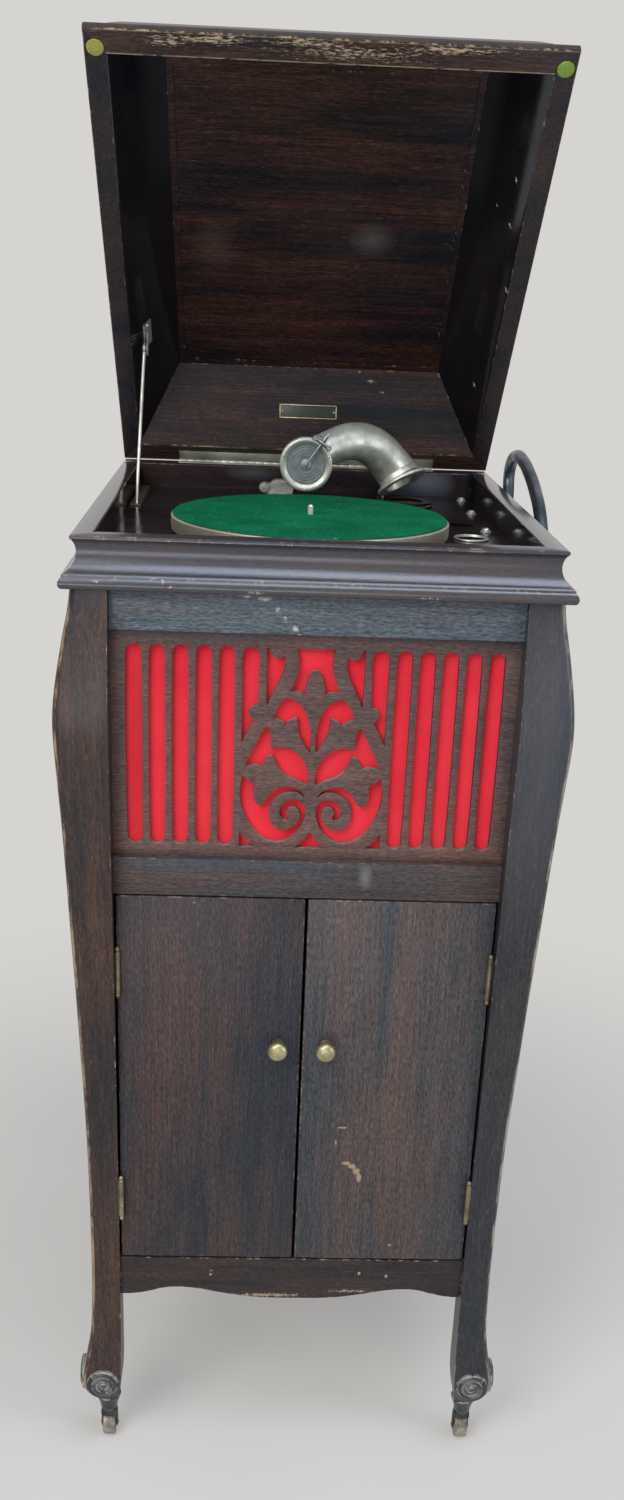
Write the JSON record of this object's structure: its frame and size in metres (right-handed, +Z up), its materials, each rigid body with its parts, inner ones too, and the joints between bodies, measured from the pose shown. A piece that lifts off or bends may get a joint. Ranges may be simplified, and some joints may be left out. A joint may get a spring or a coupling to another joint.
{
  "type": "gramophone cabinet",
  "caption": "Floor-standing gramophone cabinet with an open lid, turntable, tonearm, winding crank, fretted grille over red cloth and a two-door record cupboard on casters.",
  "frame": {"origin": "centre of the whole object's footprint, at floor level", "axes": "+X to the right seen from the front, the front with the doors faces -Y, +Z up"},
  "size_m": [0.5788, 0.6344, 1.5761],
  "materials": {
    "stained_wood": "near-black brown stain, worn to tan at the edges",
    "lid_wood": "red-brown stain inside, darker outside",
    "inner_wood": "plain unfinished inner wood",
    "black_board": "glossy black",
    "nickel": "dull nickel",
    "soundbox_metal": "dull nickel",
    "arm_metal": "dull nickel plate",
    "platter_metal": "nickel rim",
    "steel": "dark steel",
    "brass": "aged brass",
    "iron": "rough dark iron",
    "caster_metal": "worn metal",
    "turntable_felt": "green felt",
    "buffer_felt": "yellow-green felt",
    "grille_cloth": "red cloth",
    "bare_plate": "dark bare plate"
  },
  "bodies": {
    "cabinet": {"rim_moulding": "stained_wood", "front_left_post": "stained_wood", "front_right_post": "stained_wood", "rear_left_post": "stained_wood", "rear_right_post": "stained_wood", "upper_rail": "stained_wood", "middle_rail": "stained_wood", "front_apron": "stained_wood", "left_side_panel": "stained_wood", "right_side_panel": "stained_wood", "back_panel": "inner_wood", "horn_deck": "inner_wood", "record_shelf": "inner_wood", "cupboard_floor": "inner_wood", "fret_grille": "stained_wood", "grille_cloth": "grille_cloth", "motor_board": "black_board", "rear_board": "black_board", "needle_cup": "nickel", "sound_horn": "inner_wood", "left_upper_hinge": "brass", "left_lower_hinge": "brass", "right_upper_hinge": "brass", "right_lower_hinge": "brass", "case_hinge_leaf": "nickel", "stay_plate": "nickel", "motor_frame": "iron", "tonearm_base": "nickel", "arm_rest": "iron"},
    "lid_body": {"lid": "lid_wood", "left_lid_buffer": "buffer_felt", "right_lid_buffer": "buffer_felt", "name_plate": "bare_plate", "lid_hinge_leaf": "nickel", "stay_bracket": "nickel"},
    "left_door_body": {"left_door": "stained_wood", "left_knob": "brass"},
    "right_door_body": {"right_door": "stained_wood", "right_knob": "brass"},
    "stay_body": {"stay_rod": "nickel"},
    "turntable_body": {"platter": "platter_metal", "platter_felt": "turntable_felt", "spindle": "steel"},
    "barrel_body": {"spring_barrel": "steel"},
    "governor_body": {"governor": "brass"},
    "crank_body": {"crank": "steel"},
    "grip_body": {"crank_grip": "stained_wood"},
    "collar_body": {"tonearm_collar": "nickel"},
    "arm_body": {"tonearm": "arm_metal"},
    "soundbox_body": {"soundbox": "soundbox_metal", "stylus_bar": "steel"},
    "front_left_caster_body": {"front_left_caster": "iron"},
    "front_left_wheel_body": {"front_left_wheel": "caster_metal"},
    "front_right_caster_body": {"front_right_caster": "iron"},
    "front_right_wheel_body": {"front_right_wheel": "caster_metal"},
    "rear_left_caster_body": {"rear_left_caster": "iron"},
    "rear_left_wheel_body": {"rear_left_wheel": "caster_metal"},
    "rear_right_caster_body": {"rear_right_caster": "iron"},
    "rear_right_wheel_body": {"rear_right_wheel": "caster_metal"}
  },
  "joints": [
    {"name": "lid_hinge", "type": "hinge", "parent": "cabinet", "child": "lid_body", "pos_m": [-0.03015, 0.29129, 1.12075], "axis": [1, 0, 0], "range_deg": [0, 48.5]},
    {"name": "stay_slide", "type": "slide", "parent": "cabinet", "child": "stay_body", "axis": [0.0322, 0.3545, 0.9345], "range_m": [-0.1445, 0]},
    {"name": "left_door_hinge", "type": "hinge", "parent": "cabinet", "child": "left_door_body", "pos_m": [-0.23085, -0.29331, 0.515], "axis": [0, 0, 1], "range_deg": [-95, 0]},
    {"name": "right_door_hinge", "type": "hinge", "parent": "cabinet", "child": "right_door_body", "pos_m": [0.17055, -0.29331, 0.515], "axis": [0, 0, 1], "range_deg": [0, 95]},
    {"name": "turntable_spin", "type": "hinge", "parent": "cabinet", "child": "turntable_body", "pos_m": [-0.03415, -0.06571, 1.111], "axis": [0, 0, 1], "continuous": true},
    {"name": "barrel_spin", "type": "hinge", "parent": "cabinet", "child": "barrel_body", "pos_m": [-0.00515, -0.03271, 1.028], "axis": [1, 0, 0], "continuous": true},
    {"name": "governor_spin", "type": "hinge", "parent": "cabinet", "child": "governor_body", "pos_m": [-0.01015, -0.11371, 1.036], "axis": [1, 0, 0], "continuous": true},
    {"name": "crank_spin", "type": "hinge", "parent": "cabinet", "child": "crank_body", "pos_m": [0.23185, -0.03271, 1.028], "axis": [1, 0, 0], "continuous": true},
    {"name": "grip_spin", "type": "hinge", "parent": "crank_body", "child": "grip_body", "pos_m": [0.26485, 0.26629, 1.036], "axis": [1, 0, 0], "continuous": true},
    {"name": "tonearm_swing", "type": "hinge", "parent": "cabinet", "child": "collar_body", "pos_m": [0.09325, 0.17669, 1.0945], "axis": [0, 0, 1], "range_deg": [-8, 26]},
    {"name": "tonearm_lift", "type": "hinge", "parent": "collar_body", "child": "arm_body", "pos_m": [0.06422, 0.19798, 1.096], "axis": [-0.5913, -0.8064, 0], "range_deg": [-33.9, 0]},
    {"name": "soundbox_turn", "type": "hinge", "parent": "arm_body", "child": "soundbox_body", "pos_m": [-0.03615, 0.09729, 1.145], "axis": [0, 1, 0], "range_deg": [-150, 90]},
    {"name": "front_left_swivel", "type": "hinge", "parent": "cabinet", "child": "front_left_caster_body", "pos_m": [-0.25215, -0.27771, 0.05], "axis": [0, 0, 1], "continuous": true},
    {"name": "front_left_roll", "type": "hinge", "parent": "front_left_caster_body", "child": "front_left_wheel_body", "pos_m": [-0.25215, -0.27371, 0.015], "axis": [1, 0, 0], "continuous": true},
    {"name": "front_right_swivel", "type": "hinge", "parent": "cabinet", "child": "front_right_caster_body", "pos_m": [0.19185, -0.27771, 0.05], "axis": [0, 0, 1], "continuous": true},
    {"name": "front_right_roll", "type": "hinge", "parent": "front_right_caster_body", "child": "front_right_wheel_body", "pos_m": [0.19185, -0.27371, 0.015], "axis": [1, 0, 0], "continuous": true},
    {"name": "rear_left_swivel", "type": "hinge", "parent": "cabinet", "child": "rear_left_caster_body", "pos_m": [-0.25215, 0.27429, 0.05], "axis": [0, 0, 1], "continuous": true},
    {"name": "rear_left_roll", "type": "hinge", "parent": "rear_left_caster_body", "child": "rear_left_wheel_body", "pos_m": [-0.25215, 0.27829, 0.015], "axis": [1, 0, 0], "continuous": true},
    {"name": "rear_right_swivel", "type": "hinge", "parent": "cabinet", "child": "rear_right_caster_body", "pos_m": [0.19185, 0.27429, 0.05], "axis": [0, 0, 1], "continuous": true},
    {"name": "rear_right_roll", "type": "hinge", "parent": "rear_right_caster_body", "child": "rear_right_wheel_body", "pos_m": [0.19185, 0.27829, 0.015], "axis": [1, 0, 0], "continuous": true}
  ],
  "couplings": [
    {"joint": "stay_slide", "follows": "lid_hinge", "m_per_rad": -0.16952},
    {"joint": "barrel_spin", "follows": "turntable_spin", "ratio": -0.04},
    {"joint": "governor_spin", "follows": "turntable_spin", "ratio": 8}
  ]
}
